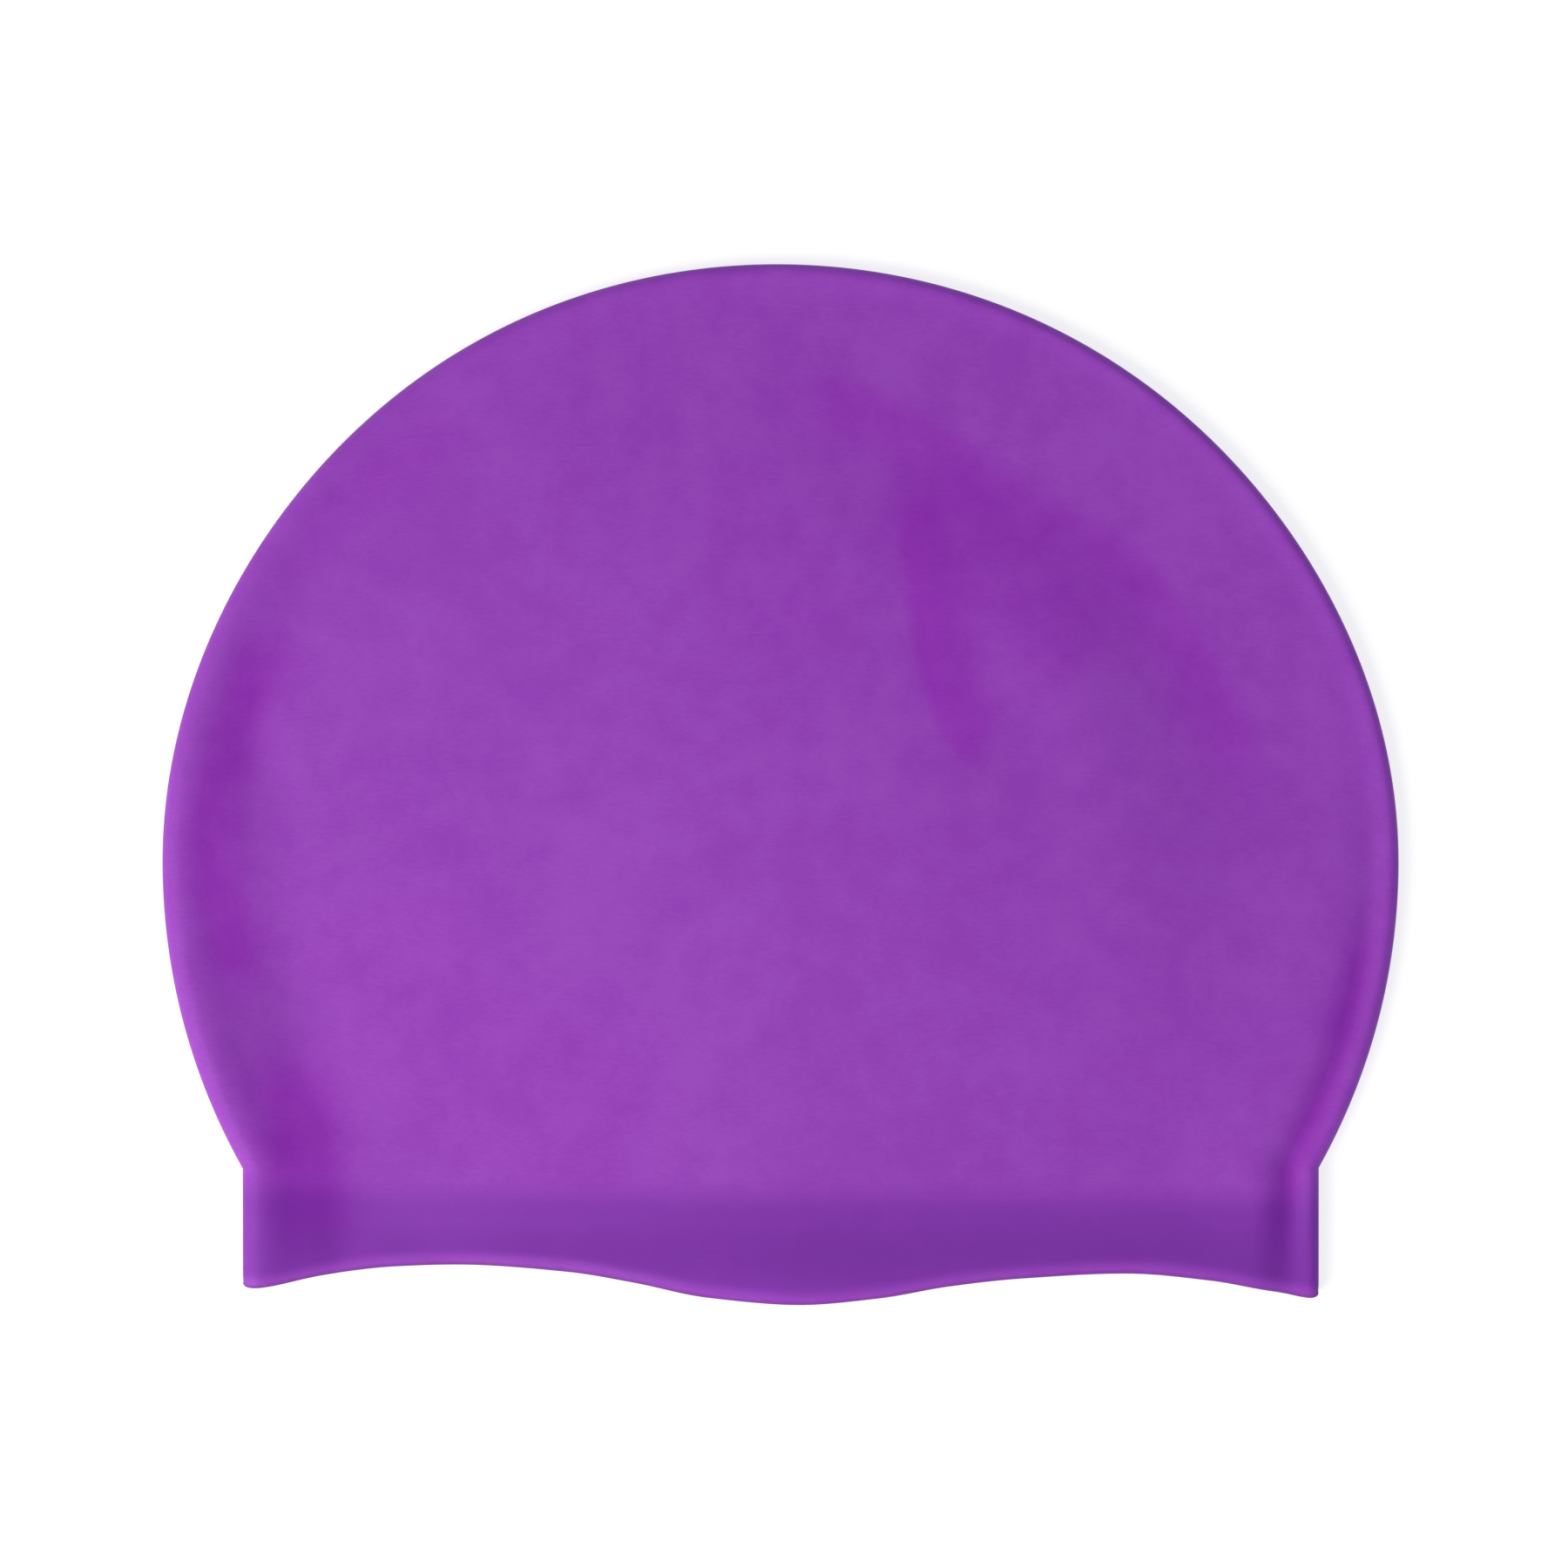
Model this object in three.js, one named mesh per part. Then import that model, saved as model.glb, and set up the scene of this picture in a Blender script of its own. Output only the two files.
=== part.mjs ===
// A swim cap of moulded silicone rubber, lying flat on a table.
//
// The cap is one moulded piece with one wall. Laid flat it is a shallow pocket: an upper wall puffed
// up over a lower wall, joined by a rolled fold that runs from one corner of the mouth, over the
// crown, to the other corner. The mouth is open between the two lips, which end in a thicker bead.
//
// Millimetres. X runs across the cap, +Y towards the crown and +Z up. The origin is on the table,
// under the middle of the outline.

import * as THREE from "three";

// The outline, seen from above.
const capWidth = 227; // across the widest part, fold to fold
const capLength = 190.6; // crown to the lowest point of the lip
const widestBelowCrown = 109.9; // crown down to the widest part
const bandTuck = 14.7; // how far each straight side of the band stands in from the widest part
const bandSide = 22.9; // a straight side, from the notch to the corner of the mouth
const shoulderSlack = 0.7; // how far the crown's shoulders lie inside a true ellipse
const crownLean = 0.8; // the crown's set to the left of the band

// The lip's wave, and the way it lies across the band. Its course is the table lipWave below.
const lipCrest = 4.35; // rise of the two crests above the line between the corners
const lipDip = 1.65; // fall of the middle below that line
const lipTilt = 2.1; // the right corner's drop below the left one
const lipSetback = 0.3; // how far the upper lip lies behind the lower one
const lipCurl = 1.1; // how far the upper lip turns down
const curlRun = 3; // run over which it turns

// The wall, and the bead that stiffens the lip.
const wallThickness = 0.8;
const beadThickness = 1.8;
const beadFade = 1.4; // run from the bead's full thickness back to the wall's

// Heights of the upper wall's outer face above the table.
const middleHeight = 8.6; // the puffed middle
const foldHeight = 7.6; // the rolled fold where it is fullest
const middleInset = 105; // distance from a fold at which the wall is as high as its middle
const bandHollow = 1.1; // depth of the hollow across the top of the band
const hollowInset = 24; // distance from a fold at which the hollow has its full depth

// The fold and the upper wall beside it, at stations along the fold from the left corner of the mouth,
// over the crown, to the right corner. station is a share of the fold's length, and height a share of
// foldHeight. valley, bank, shelf and flank are points of the wall beside the fold, each a distance in
// from the fold's edge and the wall's height there, as shares of capWidth / 2 and of middleHeight.
const foldStations = [
  // station, height, valley, bank, shelf, flank
  [0, 0.92, [0.095, 0.58], [0.17, 0.325], [0.27, 0.36], [0.45, 0.6]], // left corner of the mouth
  [0.045, 0.96, [0.09, 0.675], [0.165, 0.525], [0.26, 0.605], [0.5, 0.8]], // left notch
  [0.1, 1, [0.09, 0.72], [0.19, 0.525], [0.28, 0.58], [0.55, 0.8]],
  [0.16, 1, [0.09, 0.74], [0.185, 0.575], [0.3, 0.64], [0.6, 0.825]], // left side, at the widest line
  [0.22, 0.9, [0.075, 0.64], [0.12, 0.505], [0.18, 0.57], [0.5, 0.78]],
  [0.35, 0.66, [0.08, 0.49], [0.15, 0.525], [0.25, 0.605], [0.5, 0.825]], // left shoulder
  [0.5, 0.5, [0.04, 0.42], [0.12, 0.455], [0.25, 0.58], [0.5, 0.885]], // crown
  [0.65, 0.5, [0.037, 0.42], [0.1, 0.435], [0.22, 0.48], [0.47, 0.9]], // right shoulder
  [0.78, 0.5, [0.037, 0.405], [0.1, 0.405], [0.24, 0.45], [0.48, 0.84]],
  [0.84, 0.55, [0.039, 0.435], [0.08, 0.5], [0.25, 0.56], [0.5, 0.84]], // right side, at the widest line
  [0.91, 0.58, [0.036, 0.46], [0.088, 0.7], [0.23, 0.72], [0.45, 0.84]],
  [0.955, 0.58, [0.038, 0.44], [0.095, 0.735], [0.22, 0.755], [0.42, 0.85]], // right notch
  [1, 0.56, [0.042, 0.475], [0.105, 0.685], [0.23, 0.72], [0.42, 0.8]], // right corner of the mouth
].map(([station, height, valley, bank, shelf, flank]) => ({ station, height, valley, bank, shelf, flank }));

// The upper wall's course down the middle, from the crown side to the lip: it sinks to a hollow across the
// top of the band and rises again to the lip. below is a distance below the notches, as a share of
// bandSide, and rise a share of bandHollow.
const bandCourse = [
  { below: -2.7, rise: 0 },
  { below: -1.2, rise: -0.5 },
  { below: 0.22, rise: -1 },
  { below: 0.42, rise: -0.6 },
  { below: 1, rise: 2 },
];

// Soft creases pressed into the upper wall. Each runs from one point to another, given as shares of
// half the cap's width and half its length. width and rise are in shares of middleHeight.
const creases = [
  { at: "right of the middle", from: [0.28, 0.52], to: [0.37, 0.08], width: 1.3, rise: -0.06 },
];

// How finely the surface is divided.
const rollSteps = 4; // steps round a quarter of the fold's roll, and of the bead's nose
const upperInsets = [0.045, 0.062, 0.084, 0.11, 0.14, 0.18, 0.24, 0.31]; // shares of capWidth / 2
const upperMiddleSteps = 10;
const lowerInsets = [0.06, 0.12, 0.24];
const lowerMiddleSteps = 8;
const crownSteps = [0.025, 0.045, 0.08]; // shares of the way from the crown to the widest line
const crownTurns = 12; // rows in equal turns from there on
const firstTurn = THREE.MathUtils.degToRad(82);
const skirtSteps = [0.86, 0.71, 0.56, 0.41, 0.27, 0.13, 0]; // shares of the way from notch to widest
const bandSteps = [0.75, 0.53, 0.35, 0.22, 0.14]; // shares of the band's side
const foldSamples = 300; // points along each half of the fold

const halfWall = wallThickness / 2;
const halfWidth = capWidth / 2;
const beadRadius = beadThickness / 2;

// The middle of the wall follows these lines.
const crownTop = capLength / 2 - halfWall;
const widestY = capLength / 2 - widestBelowCrown;
const cornerY = -capLength / 2 + lipDip;
const notchY = cornerY + bandSide;
const foldHalfWidth = halfWidth - halfWall;
const bandHalfWidth = foldHalfWidth - bandTuck;
const crownReach = crownTop - widestY;
const skirtReach = (widestY - notchY) / Math.sqrt(1 - (bandHalfWidth / foldHalfWidth) ** 2);

/** 0 below 0, 1 above 1, and a smooth rise between. */
function ease(share) {
  const t = THREE.MathUtils.clamp(share, 0, 1);
  return t * t * (3 - 2 * t);
}

/** A smooth curve through points [x, y] with rising x, that never overshoots them. */
function smoothThrough(points, x) {
  const last = points.length - 1;
  if (x <= points[0][0]) return points[0][1];
  if (x >= points[last][0]) return points[last][1];
  const rate = (k) => (points[k + 1][1] - points[k][1]) / (points[k + 1][0] - points[k][0]);
  const slope = (k) => {
    if (k === 0 || k === last) return 0;
    const [before, after] = [rate(k - 1), rate(k)];
    return before * after <= 0 ? 0 : (2 * before * after) / (before + after);
  };
  const k = points.findIndex((point) => point[0] > x) - 1;
  const span = points[k + 1][0] - points[k][0];
  const t = (x - points[k][0]) / span;
  const swing = (1 - t) * slope(k) - t * slope(k + 1);
  return THREE.MathUtils.lerp(points[k][1], points[k + 1][1], ease(t)) + t * (1 - t) * span * swing;
}

/** The lip's height above the line between the corners, at shares of the band's half width. */
const lipWave = [
  { across: -1, rise: 0 },
  { across: -0.86, rise: 0.5 * lipCrest },
  { across: -0.72, rise: 0.88 * lipCrest },
  { across: -0.58, rise: lipCrest },
  { across: -0.4, rise: 0.8 * lipCrest },
  { across: -0.27, rise: 0.4 * lipCrest },
  { across: -0.14, rise: -0.33 * lipDip },
  { across: 0.03, rise: -lipDip },
  { across: 0.18, rise: -0.22 * lipDip },
  { across: 0.31, rise: 0.42 * lipCrest },
  { across: 0.45, rise: 0.77 * lipCrest },
  { across: 0.65, rise: lipCrest },
  { across: 0.8, rise: 0.75 * lipCrest },
  { across: 0.93, rise: 0.24 * lipCrest },
  { across: 1, rise: 0 },
].map(({ across, rise }) => [across, rise]);

/** The point of the wall at a turn and a share across, in the dome above the widest line. Each row of
 *  one turn is an arc that meets the fold square on. A quarter turn is the crown, and 0 the widest line. */
function crownPoint(turn, across) {
  const x = turn ? Math.sin(across * turn) / Math.tan(turn) : across;
  const y = turn ? (1 - Math.cos(turn) * Math.cos(across * turn)) / Math.sin(turn) : 0;
  const slack = 1 - (shoulderSlack / halfWidth) * 6.75 * x ** 4 * y ** 2;
  return [foldHalfWidth * x * slack - crownLean * y * y, widestY + crownReach * y * slack];
}

/** How far the bead moves the wall's middle inwards, so that it thickens on the hollow's side alone. */
function beadShift(rise) {
  return (beadRadius - halfWall) * (1 - ease((rise - beadRadius) / beadFade));
}

/** The fold's distance from the middle line, at a height y below the widest line. */
function skirtHalfWidth(y) {
  if (y <= notchY) return bandHalfWidth;
  return foldHalfWidth * Math.sqrt(1 - ((widestY - y) / skirtReach) ** 2);
}

/** The point of the wall at a rise above the corners and a share across, below the widest line. shift is
 *  how far the row stands in from the fold. */
function skirtPoint(rise, across, shift = 0) {
  const wave = smoothThrough(lipWave, across) * (1 - ease(rise / (widestY - cornerY)));
  const tilt = (lipTilt / 2) * (1 - ease(rise / bandSide));
  const edgeY = cornerY + rise - Math.sign(across) * tilt;
  return [across * (skirtHalfWidth(edgeY) - shift), cornerY + rise + wave - across * tilt];
}

/** The same point of the lower wall, which the bead narrows. */
function lowerSkirtPoint(rise, across) {
  return skirtPoint(rise, across, beadShift(rise));
}

/** The same point of the upper wall, whose lip lies a little behind the lower one between the corners. */
function upperSkirtPoint(rise, across) {
  const [x, y] = lowerSkirtPoint(rise, across);
  return [x, y + lipSetback * (1 - across ** 6) * (1 - ease(rise / bandSide))];
}

/** The fold seen from above, as points with their share of the fold's length. */
function traceFold() {
  const points = [];
  for (let k = 0; k < foldSamples; k += 1) {
    points.push(skirtPoint(((widestY - cornerY) * k) / foldSamples, -1));
  }
  for (let k = 0; k <= foldSamples; k += 1) points.push(crownPoint((Math.PI / 2) * (k / foldSamples), -1));
  const turned = points.slice(0, -1).reverse();
  turned.forEach((point, k) => {
    const below = k >= foldSamples;
    const rise = ((widestY - cornerY) * (2 * foldSamples - 1 - k)) / foldSamples;
    points.push(below ? skirtPoint(rise, 1) : crownPoint((Math.PI / 2) * (1 - (k + 1) / foldSamples), 1));
  });
  const runs = [0];
  for (let k = 1; k < points.length; k += 1) {
    runs.push(runs[k - 1] + Math.hypot(points[k][0] - points[k - 1][0], points[k][1] - points[k - 1][1]));
  }
  return points.map(([x, y], k) => ({ x, y, station: runs[k] / runs[runs.length - 1] }));
}

const fold = traceFold();

/** How far a point lies in from the fold, and the share of the fold's length where it is nearest. */
function nearestFold([x, y]) {
  let best = { inset: Infinity, station: 0 };
  for (let k = 1; k < fold.length; k += 1) {
    const [a, b] = [fold[k - 1], fold[k]];
    const [dx, dy] = [b.x - a.x, b.y - a.y];
    const t = THREE.MathUtils.clamp(((x - a.x) * dx + (y - a.y) * dy) / (dx * dx + dy * dy), 0, 1);
    const inset = Math.hypot(x - a.x - t * dx, y - a.y - t * dy);
    if (inset < best.inset) best = { inset, station: a.station + t * (b.station - a.station) };
  }
  return best;
}

/** One column of foldStations at any station: a number, or item 0 or 1 of a pair. */
function foldValue(station, column, item) {
  const value = (row) => (item === undefined ? row[column] : row[column][item]);
  return smoothThrough(foldStations.map((row) => [row.station, value(row)]), station);
}

/** The fold's outer radius at a station. Its round roll stands on the table, so its middle is as high. */
function foldRadius(station) {
  return (foldValue(station, "height") * foldHeight) / 2;
}

/** The roll's half height over its own middle, at an inset from the fold's edge. */
function rollRise(inset, radius) {
  return Math.sqrt(Math.max(0, radius ** 2 - Math.max(0, radius - inset) ** 2));
}

/** The height that the soft creases add at a point. */
function creaseRise([x, y]) {
  return creases.reduce((sum, { from, to, width, rise }) => {
    const [ax, bx] = [from[0] * halfWidth, to[0] * halfWidth];
    const [ay, by] = [(from[1] * capLength) / 2, (to[1] * capLength) / 2];
    const along = ((x - ax) * (bx - ax) + (y - ay) * (by - ay)) / ((bx - ax) ** 2 + (by - ay) ** 2);
    const t = THREE.MathUtils.clamp(along, 0, 1);
    const away = Math.hypot(x - ax - t * (bx - ax), y - ay - t * (by - ay)) / (width * middleHeight);
    return sum + rise * middleHeight * Math.exp(-away * away);
  }, 0);
}

/** Height of the middle of the upper wall. */
function upperHeight(point, rise, inset, station) {
  const middle = foldRadius(station);
  const shift = beadShift(rise);
  const radius = middle - halfWall - shift;
  const roll = rollRise(inset - shift, radius);
  const curl = lipCurl * Math.max(0, 1 - rise / curlRun) ** 2 * (roll / radius);
  if (inset - shift <= radius) return middle + roll - curl;
  const beside = ["valley", "bank", "shelf", "flank"].map((column) => [
    foldValue(station, column, 0) * halfWidth,
    foldValue(station, column, 1) * middleHeight - halfWall,
  ]);
  const section = [
    [middle - halfWall, 2 * middle - halfWall],
    ...beside,
    [middleInset, middleHeight - halfWall],
  ];
  const inward = ease((inset - middle + halfWall) / hollowInset);
  const course = bandCourse.map(({ below, rise }) => [below * bandSide, rise * bandHollow]);
  const sag = smoothThrough(course, notchY - point[1]);
  return smoothThrough(section, inset) + inward * (creaseRise(point) + sag) - shift - curl;
}

/** Height of the middle of the lower wall, which lies on the table with its bead. */
function lowerHeight(point, rise, inset, station) {
  const middle = foldRadius(station);
  const shift = beadShift(rise);
  return middle - rollRise(inset - shift, middle - halfWall - shift);
}

/** Half the wall's thickness at a distance above the lip, where the bead closes in a round nose. */
function halfThickness(rise) {
  const nose = Math.sqrt(beadRadius ** 2 - Math.max(0, beadRadius - rise) ** 2);
  return nose - beadRadius + halfWall + beadShift(rise);
}

/** Insets that go round a quarter circle in equal turns, without the first. */
function quarterInsets(radius) {
  const turn = Math.PI / 2 / rollSteps;
  return Array.from({ length: rollSteps }, (_, k) => radius * (1 - Math.cos((k + 1) * turn)));
}

/** Shares across a row, from -1 to 1, close together beside the folds. */
function sharesAcross(reach, insets, middleSteps, rolls) {
  const [left, right] = rolls.map((roll) => {
    const all = [0, ...quarterInsets(roll - halfWall), ...insets.map((share) => share * halfWidth)];
    const shrink = Math.min(1, (0.7 * reach) / all[all.length - 1]);
    return all.map((inset) => (inset * shrink) / reach);
  });
  const [start, end] = [-1 + left[left.length - 1], 1 - right[right.length - 1]];
  const step = (end - start) / middleSteps;
  const middle = Array.from({ length: middleSteps - 1 }, (_, k) => start + step * (k + 1));
  return [...left.map((inset) => inset - 1), ...middle, ...right.map((inset) => 1 - inset).reverse()];
}

/** The rows of the cap from the crown to the lip: how far each reaches to a side, its distance above the
 *  lip, and its points of the upper and the lower wall at a share across. */
function listRows() {
  const rollDrops = quarterInsets(foldRadius(0.5) - halfWall);
  const drops = [...rollDrops, ...crownSteps.map((share) => share * crownReach)];
  const turns = [
    ...drops.map((drop) => 2 * Math.atan(1 - drop / crownReach)),
    ...Array.from({ length: crownTurns }, (_, k) => firstTurn * (1 - k / (crownTurns - 1))),
  ];
  const crownRows = turns.map((turn) => {
    const reach = foldHalfWidth * (turn ? turn / Math.tan(turn) : 1);
    const point = (across) => crownPoint(turn, across);
    return { reach, rise: Infinity, upper: point, lower: point };
  });
  const beadRises = [0, ...quarterInsets(beadRadius), beadRadius + beadFade / 2, beadRadius + beadFade];
  const rises = [
    ...skirtSteps.map((share) => bandSide + share * (widestY - notchY)),
    ...bandSteps.map((share) => share * bandSide),
    ...beadRises.reverse(),
  ];
  const skirtRows = rises.map((rise) => {
    const reach = skirtHalfWidth(cornerY + rise);
    const [upper, lower] = [upperSkirtPoint, lowerSkirtPoint].map((point) => (across) => point(rise, across));
    return { reach, rise, upper, lower };
  });
  return [...crownRows, ...skirtRows];
}

/** A row as one closed loop of the wall's middle: over the upper wall to the right, back under the lower. */
function loopOf(row) {
  const ends = [-1, 1].map((across) => nearestFold(row.lower(across)).station);
  const rolls = ends.map((station) => foldRadius(station));
  const upper = sharesAcross(row.reach, upperInsets, upperMiddleSteps, rolls);
  const lower = sharesAcross(row.reach, lowerInsets, lowerMiddleSteps, rolls).slice(1, -1).reverse();
  const place = (across, wallPoint, height) => {
    const point = wallPoint(across);
    const near = nearestFold(point);
    const inset = Math.abs(across) === 1 ? 0 : near.inset;
    return new THREE.Vector3(point[0], point[1], height(point, row.rise, inset, near.station));
  };
  return [
    ...upper.map((across) => place(across, row.upper, upperHeight)),
    ...lower.map((across) => place(across, row.lower, lowerHeight)),
  ];
}

/** The cap's closed surface: the outer face and the face of the hollow, joined round the lip. */
function capGeometry() {
  const rows = listRows();
  const loops = rows.map(loopOf);
  const around = loops[0].length;
  const crownRoll = foldRadius(0.5);
  const pole = new THREE.Vector3(crownPoint(Math.PI / 2, 0)[0], crownTop, crownRoll);
  const positions = [];
  const triangles = [];
  const add = (vertex) => positions.push(vertex.x, vertex.y, vertex.z) / 3 - 1;

  const outward = (j, i) => {
    const [before, after] = [loops[j][(i + around - 1) % around], loops[j][(i + 1) % around]];
    const above = j === 0 ? pole : loops[j - 1][i];
    const below = loops[Math.min(j + 1, loops.length - 1)][i];
    const down = below.clone().sub(above);
    return down.cross(after.clone().sub(before)).normalize();
  };
  const skin = (side) =>
    loops.map((loop, j) => {
      const half = halfThickness(rows[j].rise);
      return loop.map((point, i) => add(point.clone().addScaledVector(outward(j, i), side * half)));
    });
  const outer = skin(1);
  const inner = skin(-1);
  inner[inner.length - 1] = outer[outer.length - 1];

  const outerPole = add(pole.clone().setY(crownTop + halfWall));
  const innerPole = add(pole.clone().setY(crownTop - halfWall));
  for (let i = 0; i < around; i += 1) {
    const next = (i + 1) % around;
    triangles.push(outerPole, outer[0][i], outer[0][next], innerPole, inner[0][next], inner[0][i]);
    for (let j = 1; j < loops.length; j += 1) {
      const [a, b, c, d] = [outer[j - 1][i], outer[j - 1][next], outer[j][next], outer[j][i]];
      const [e, f, g, h] = [inner[j - 1][i], inner[j - 1][next], inner[j][next], inner[j][i]];
      triangles.push(a, d, c, a, c, b, e, g, h, e, f, g);
    }
  }
  const geometry = new THREE.BufferGeometry();
  geometry.setAttribute("position", new THREE.Float32BufferAttribute(positions, 3));
  geometry.setIndex(triangles);
  geometry.computeVertexNormals();
  return geometry;
}

const silicone = new THREE.MeshStandardMaterial({ color: 0x9040b4, roughness: 0.5, metalness: 0 });

const cap = new THREE.Mesh(capGeometry(), silicone);
cap.name = "cap_shell";

const swimCap = new THREE.Group();
swimCap.name = "swim_cap";
swimCap.add(cap);

export default swimCap;
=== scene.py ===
"""A plain swim cap of moulded silicone rubber, lying flat on a pale floor and seen from straight above."""

import logging
import math
from dataclasses import dataclass, field
from enum import Enum
from functools import partial
from typing import Callable, Mapping, Sequence, Union

import bpy
import numpy as np
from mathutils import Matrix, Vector


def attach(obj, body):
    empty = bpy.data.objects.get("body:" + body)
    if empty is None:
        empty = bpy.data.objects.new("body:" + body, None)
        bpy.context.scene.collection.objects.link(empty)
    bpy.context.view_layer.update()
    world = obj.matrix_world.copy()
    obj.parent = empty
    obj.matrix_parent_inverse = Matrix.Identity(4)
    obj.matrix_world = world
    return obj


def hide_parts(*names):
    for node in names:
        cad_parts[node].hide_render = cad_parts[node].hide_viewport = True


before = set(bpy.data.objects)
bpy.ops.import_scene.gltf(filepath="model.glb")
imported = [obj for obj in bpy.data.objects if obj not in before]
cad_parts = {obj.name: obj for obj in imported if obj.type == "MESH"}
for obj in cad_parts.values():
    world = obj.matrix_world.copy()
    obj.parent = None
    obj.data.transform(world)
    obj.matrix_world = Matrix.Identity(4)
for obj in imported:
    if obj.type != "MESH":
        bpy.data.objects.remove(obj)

log = logging.getLogger("swim_cap")

Colour = tuple[float, float, float, float]
Pair = tuple[float, float]
Values = np.ndarray

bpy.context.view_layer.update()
MM = 0.001
AT_CROWN = np.array([0.5])
LEFT_END = np.array([-1.0])
RIGHT_END = np.array([1.0])
BOTH_ENDS = np.array([-1.0, 1.0])
FAR_ABOVE_LIP = 1.0
SMALL_TURN = 1e-9
SLACK_PEAK = 27 / 4


class Side(Enum):
    """A face of the cap's wall."""

    OUTER = 1.0
    INNER = -1.0


# Curves and eases


def ease(share: Values) -> Values:
    """0 below 0, 1 above 1, and a smooth rise between."""
    t = np.clip(share, 0.0, 1.0)
    return t * t * (3.0 - 2.0 * t)


def smooth_through(xs: Values, ys: Values, at: Values) -> Values:
    """A smooth curve through points, that never overshoots them.

    Args:
        xs: The points' rising positions, one row for each point, the same or different at each value.
        ys: The points' values, laid out as xs.
        at: The positions that are asked for.

    Returns:
        The curve's value at each position.
    """
    at = np.asarray(at, float)
    xs, ys = (np.asarray(rows, float) for rows in (xs, ys))
    xs = np.broadcast_to(xs.reshape(len(xs), -1), (len(xs), at.size))
    ys = np.broadcast_to(ys.reshape(len(ys), -1), (len(ys), at.size))
    flat = at.ravel()
    rates = np.diff(ys, axis=0) / np.diff(xs, axis=0)
    before, after = rates[:-1], rates[1:]
    same = before * after > 0.0
    inner = np.where(same, 2.0 * before * after / np.where(same, before + after, 1.0), 0.0)
    ends = np.zeros((1, flat.size))
    slopes = np.concatenate([ends, inner, ends])
    k = np.clip((xs <= flat).sum(axis=0) - 1, 0, len(xs) - 2)
    column = np.arange(flat.size)
    start, end = xs[k, column], xs[k + 1, column]
    span = end - start
    t = np.clip((flat - start) / span, 0.0, 1.0)
    low, high = ys[k, column], ys[k + 1, column]
    swing = (1.0 - t) * slopes[k, column] - t * slopes[k + 1, column]
    curve = low + (high - low) * ease(t) + t * (1.0 - t) * span * swing
    return curve.reshape(at.shape)


def nearest_on_path(points: Values, path: Values) -> tuple[Values, Values, Values]:
    """How points lie beside a path of straight steps.

    Args:
        points: The points, one row of x and y each.
        path: The path's corners, in order.

    Returns:
        Each point's distance from the path, the share of the path's length where it is nearest, and the
        distance with its sign: above 0 to the right of the path's direction.
    """
    starts, ends = path[:-1], path[1:]
    steps = ends - starts
    lengths = np.hypot(steps[:, 0], steps[:, 1])
    runs = np.concatenate([[0.0], np.cumsum(lengths)])
    nearest = np.full(len(points), np.inf)
    share = np.zeros(len(points))
    sign = np.ones(len(points))
    for start, step, length, run in zip(starts, steps, lengths, runs):
        away = points - start
        t = np.clip((away @ step) / length**2, 0.0, 1.0)
        gap = away - t[:, None] * step
        distance = np.hypot(gap[:, 0], gap[:, 1])
        closer = distance < nearest
        nearest = np.where(closer, distance, nearest)
        share = np.where(closer, (run + t * length) / runs[-1], share)
        turned = np.sign(away[:, 1] * step[0] - away[:, 0] * step[1])
        sign = np.where(closer, -turned, sign)
    return nearest, share, nearest * np.where(sign == 0.0, 1.0, sign)


def smooth_path(points: Values, steps: int = 8) -> Values:
    """A path of straight steps made into a smooth one through the same points.

    Args:
        points: The path's corners, in order.
        steps: How many short steps take the place of each straight one.

    Returns:
        The smooth path's points.
    """
    ends = np.vstack([2 * points[0] - points[1], points, 2 * points[-1] - points[-2]])
    a, b, c, d = (ends[k:len(ends) - 3 + k, None] for k in range(4))
    t = (np.arange(steps) / steps)[None, :, None]
    bend = t**2 * (a - 2.5 * b + 2 * c - d / 2)
    curve = b + t * (c - a) / 2 + bend + t**3 * (1.5 * (b - c) + (d - a) / 2)
    return np.vstack([curve.reshape(-1, 2), points[-1:]])


# The cap's shape, as the wall's own sizes give it


@dataclass(frozen=True)
class Station:
    """The fold and the upper wall beside it, at a share of the fold's length.

    height is a share of the fold's full height. The four points are distances in from the fold's edge
    and heights there, as shares of half the width and of the middle's height.
    """

    at: float
    height: float
    valley: Pair
    bank: Pair
    shelf: Pair
    flank: Pair


@dataclass(frozen=True)
class Press:
    """A soft form along a straight line: a ridge, a hollow or a swell of the upper wall.

    The line's ends are shares of half the width and half the length, and width and rise are shares of
    the middle's height.
    """

    name: str
    start: Pair
    end: Pair
    width: float
    rise: float


@dataclass(frozen=True)
class PaintedShadePatch:
    """A stretch of painted shade on the upper wall. It changes the rubber's colour alone, not its shape or
    gloss.

    path gives its line as shares of half the width and half the length. The patch reaches left and right
    of the line's direction by these distances in metres, is as dark there as depth says, and fades over
    its two ends.
    """

    name: str
    path: tuple[Pair, ...]
    left: float
    right: float
    depth: float
    ends: float = 0.2


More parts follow.
